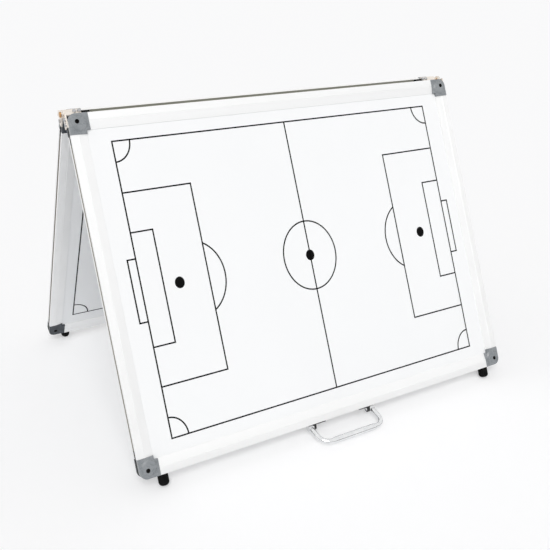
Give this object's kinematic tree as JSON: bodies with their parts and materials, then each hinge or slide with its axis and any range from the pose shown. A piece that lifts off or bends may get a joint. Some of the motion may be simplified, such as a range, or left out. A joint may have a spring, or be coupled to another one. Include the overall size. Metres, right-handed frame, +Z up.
{
  "type": "folding magnetic tactics board",
  "caption": "Two framed magnetic dry-wipe panels hinged along the top, standing as a tent, with rubber feet and a chrome carrying handle.",
  "frame": {"origin": "centre of the bounding box at floor level, the feet standing on z = 0", "axes": "+X along the hinge, to the right seen from the front; +Y from the front panel to the rear panel; +Z up"},
  "size_m": [0.6096, 0.4594, 0.4238],
  "materials": {
    "frame_aluminium": "satin silver anodised extrusion",
    "board_face": "glossy white lacquered steel sheet",
    "core_card": "plain kraft honeycomb board",
    "cap_grey": "fine moulded grey plastic",
    "cap_dark": "dark grey moulded plastic",
    "block_black": "black moulded plastic",
    "foot_rubber": "black matt rubber",
    "hinge_nickel": "nickel plated pressed steel",
    "pin_brass": "plain turned brass rivet",
    "screw_steel": "bright zinc plated steel",
    "handle_chrome": "polished chrome plate",
    "bracket_black": "black painted pressed steel"
  },
  "bodies": {
    "front_panel": {"front_bottom_rail": "frame_aluminium", "front_top_rail": "frame_aluminium", "front_left_rail": "frame_aluminium", "front_right_rail": "frame_aluminium", "front_inner_sheet": "board_face", "front_core_board": "core_card", "front_outer_sheet": "board_face", "front_outer_cap_bottom_left": "cap_grey", "front_inner_cap_bottom_left": "cap_dark", "front_corner_block_bottom_left": "block_black", "front_outer_cap_bottom_right": "cap_grey", "front_inner_cap_bottom_right": "cap_dark", "front_corner_block_bottom_right": "block_black", "front_outer_cap_top_right": "cap_grey", "front_inner_cap_top_right": "cap_dark", "front_corner_block_top_right": "block_black", "front_outer_cap_top_left": "cap_grey", "front_inner_cap_top_left": "cap_dark", "front_corner_block_top_left": "block_black", "front_foot_left": "foot_rubber", "front_hinge_plate_left": "hinge_nickel", "front_foot_right": "foot_rubber", "front_hinge_plate_right": "hinge_nickel", "front_hinge_screws": "screw_steel", "hinge_pin_left": "pin_brass", "hinge_pin_right": "pin_brass", "handle_bracket_left": "bracket_black", "handle_bracket_right": "bracket_black", "handle_screws": "screw_steel", "handle_backing_bar": "screw_steel"},
    "rear_panel": {"rear_bottom_rail": "frame_aluminium", "rear_top_rail": "frame_aluminium", "rear_left_rail": "frame_aluminium", "rear_right_rail": "frame_aluminium", "rear_inner_sheet": "board_face", "rear_core_board": "core_card", "rear_outer_sheet": "board_face", "rear_outer_cap_bottom_left": "cap_grey", "rear_inner_cap_bottom_left": "cap_dark", "rear_corner_block_bottom_left": "block_black", "rear_outer_cap_bottom_right": "cap_grey", "rear_inner_cap_bottom_right": "cap_dark", "rear_corner_block_bottom_right": "block_black", "rear_outer_cap_top_right": "cap_grey", "rear_inner_cap_top_right": "cap_dark", "rear_corner_block_top_right": "block_black", "rear_outer_cap_top_left": "cap_grey", "rear_inner_cap_top_left": "cap_dark", "rear_corner_block_top_left": "block_black", "rear_foot_left": "foot_rubber", "rear_hinge_plate_left": "hinge_nickel", "rear_foot_right": "foot_rubber", "rear_hinge_plate_right": "hinge_nickel", "rear_hinge_screws": "screw_steel"},
    "handle": {"handle_bail": "handle_chrome"}
  },
  "joints": [
    {"name": "fold_hinge", "type": "hinge", "parent": "front_panel", "child": "rear_panel", "pos_m": [0, 0.01354, 0.41881], "axis": [1, 0, 0], "range_deg": [-52, 128]},
    {"name": "handle_swing", "type": "hinge", "parent": "front_panel", "child": "handle", "pos_m": [0, -0.19361, 0.01005], "axis": [-1, 0, 0], "range_deg": [-139.6, 35.4]}
  ]
}
